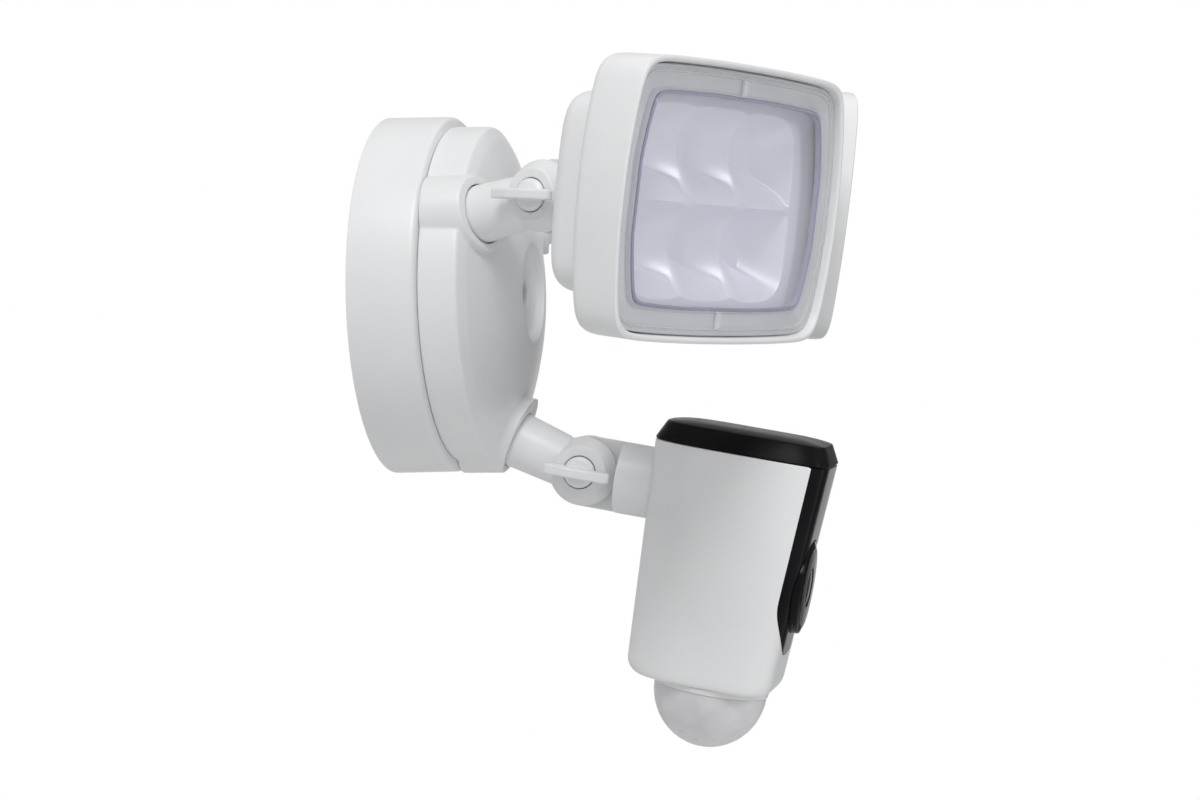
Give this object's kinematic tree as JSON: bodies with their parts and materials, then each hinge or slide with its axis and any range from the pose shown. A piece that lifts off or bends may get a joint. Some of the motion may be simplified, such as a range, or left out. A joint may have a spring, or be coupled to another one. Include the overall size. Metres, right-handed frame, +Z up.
{
  "type": "floodlight security camera",
  "caption": "Wall-mounted security light with square lamp heads and a hanging camera unit with a motion sensor dome, each on a clamped knuckle arm from a round base.",
  "frame": {"origin": "centre of the base's back, on the wall plane", "axes": "+Z up, -Y out from the wall towards where the lamps and camera look, +X to the right seen by someone facing the wall"},
  "size_m": [0.2922, 0.1688, 0.2404],
  "materials": {
    "white_plastic": "satin white moulded plastic",
    "black_gloss": "polished black plastic",
    "black_satin": "satin black plastic",
    "clear_plastic": "clear moulded lens cover",
    "reflector": "metallised plastic bowls",
    "milky_plastic": "milky translucent plastic",
    "rubber": "soft black rubber",
    "steel": "zinc-plated steel",
    "aluminium": "cast aluminium",
    "brass": "turned brass",
    "dark_plastic": "matte dark plastic",
    "green_board": "solder-masked circuit board",
    "white_board": "white solder-masked circuit board",
    "terminal_plastic": "green terminal block plastic"
  },
  "bodies": {
    "base": {"mounting_bracket": "steel", "wall_gasket": "rubber", "back_box": "white_plastic", "cable_grommet": "rubber", "cover_seal": "rubber", "front_cover": "white_plastic", "fixing_screw": "steel", "driver_board": "green_board", "choke": "dark_plastic", "capacitor_1": "dark_plastic", "capacitor_2": "dark_plastic", "terminal_block": "terminal_plastic"},
    "left_arm_swivel_body": {"left_arm": "white_plastic", "left_arm_lock_ring": "dark_plastic"},
    "left_knob": {"left_wing_knob": "white_plastic", "left_clamp_screw": "steel"},
    "left_lamp": {"left_stem": "white_plastic", "left_lamp_housing": "white_plastic", "left_heat_sink": "aluminium", "left_led_board": "white_board", "left_reflector": "reflector", "left_lamp_hood": "white_plastic", "left_lens_gasket": "rubber", "left_lens_cover": "clear_plastic", "left_clamp_nut": "brass"},
    "right_arm_swivel_body": {"right_arm": "white_plastic", "right_arm_lock_ring": "dark_plastic"},
    "right_knob": {"right_wing_knob": "white_plastic", "right_clamp_screw": "steel"},
    "right_lamp": {"right_stem": "white_plastic", "right_lamp_housing": "white_plastic", "right_heat_sink": "aluminium", "right_led_board": "white_board", "right_reflector": "reflector", "right_lamp_hood": "white_plastic", "right_lens_gasket": "rubber", "right_lens_cover": "clear_plastic", "right_clamp_nut": "brass"},
    "camera_arm_swivel_body": {"camera_arm": "white_plastic", "camera_arm_lock_ring": "dark_plastic"},
    "camera_knob": {"camera_wing_knob": "white_plastic", "camera_clamp_screw": "steel"},
    "camera_unit": {"camera_stem": "white_plastic", "camera_shell": "white_plastic", "front_panel": "black_gloss", "top_cap": "black_satin", "microphone": "steel", "lens_window": "black_gloss", "lens_barrel": "dark_plastic", "camera_board": "green_board", "sensor_board": "green_board", "motion_sensor": "steel", "sensor_ring": "white_plastic", "sensor_dome": "milky_plastic", "camera_clamp_nut": "brass"}
  },
  "joints": [
    {"name": "left_arm_swivel", "type": "hinge", "parent": "base", "child": "left_arm_swivel_body", "pos_m": [-0.0437, -0.04472, 0.02805], "axis": [-0.3481, -0.9179, 0.1907], "range_deg": [-45, 15]},
    {"name": "left_tilt", "type": "hinge", "parent": "left_arm_swivel_body", "child": "left_lamp", "pos_m": [-0.0531, -0.0695, 0.0332], "axis": [-0.9326, 0.3598, 0.0296], "range_deg": [-25, 50]},
    {"name": "left_knob_turn", "type": "hinge", "parent": "left_arm_swivel_body", "child": "left_knob", "pos_m": [-0.0531, -0.0695, 0.0332], "axis": [0.9326, -0.3598, -0.0296], "range_deg": [-180, 180]},
    {"name": "right_arm_swivel", "type": "hinge", "parent": "base", "child": "right_arm_swivel_body", "pos_m": [0.0437, -0.04472, 0.02805], "axis": [-0.3481, 0.9179, -0.1907], "range_deg": [-45, 15]},
    {"name": "right_tilt", "type": "hinge", "parent": "right_arm_swivel_body", "child": "right_lamp", "pos_m": [0.0531, -0.0695, 0.0332], "axis": [-0.9326, -0.3598, -0.0296], "range_deg": [-25, 50]},
    {"name": "right_knob_turn", "type": "hinge", "parent": "right_arm_swivel_body", "child": "right_knob", "pos_m": [0.0531, -0.0695, 0.0332], "axis": [0.9326, 0.3598, 0.0296], "range_deg": [-180, 180]},
    {"name": "camera_arm_swivel", "type": "hinge", "parent": "base", "child": "camera_arm_swivel_body", "pos_m": [0, -0.04513, -0.05339], "axis": [0, -0.9063, -0.4226], "range_deg": [-45, 45]},
    {"name": "camera_tilt", "type": "hinge", "parent": "camera_arm_swivel_body", "child": "camera_unit", "pos_m": [0, -0.0696, -0.0648], "axis": [-1, 0, 0], "range_deg": [-40, 15]},
    {"name": "camera_knob_turn", "type": "hinge", "parent": "camera_arm_swivel_body", "child": "camera_knob", "pos_m": [0, -0.0696, -0.0648], "axis": [1, 0, 0], "range_deg": [-180, 180]}
  ]
}
